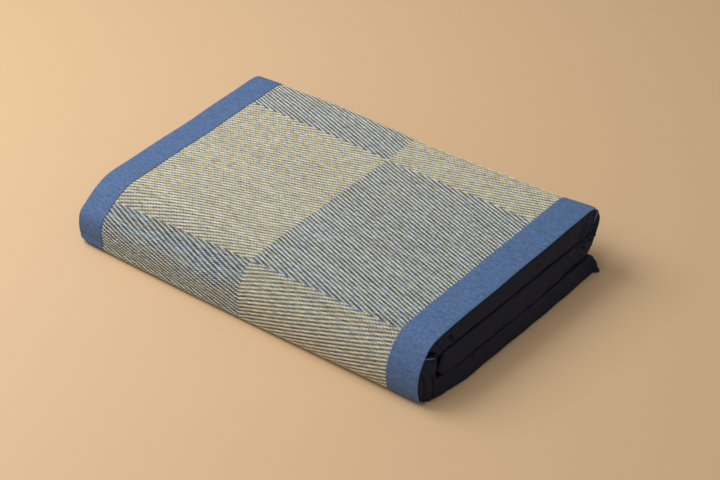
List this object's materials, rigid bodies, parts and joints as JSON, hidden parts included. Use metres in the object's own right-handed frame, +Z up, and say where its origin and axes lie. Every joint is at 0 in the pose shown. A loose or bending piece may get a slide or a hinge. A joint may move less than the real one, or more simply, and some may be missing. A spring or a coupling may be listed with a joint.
{
  "type": "folded tatami mat",
  "caption": "Padded rush sleeping mat with cloth bindings on its long edges, folded back and forth on itself and lying on a floor.",
  "frame": {"origin": "centre of the bounding box on its underside, at floor level", "axes": "+X across the mat towards the right binding, +Y from the front fold to the back fold, +Z up through the three layers"},
  "size_m": [0.9217, 0.5499, 0.1295],
  "materials": {
    "pad_cloth": "matt black woven cloth, softly creased",
    "woven_rush": "dry straw and blue rush in a slanting weave, turned about in large squares",
    "binding_cloth": "matt mid-blue plain-weave cloth"
  },
  "bodies": {
    "root": {"pad": "pad_cloth", "rush_face": "woven_rush", "binding_left": "binding_cloth", "binding_right": "binding_cloth"}
  },
  "joints": []
}
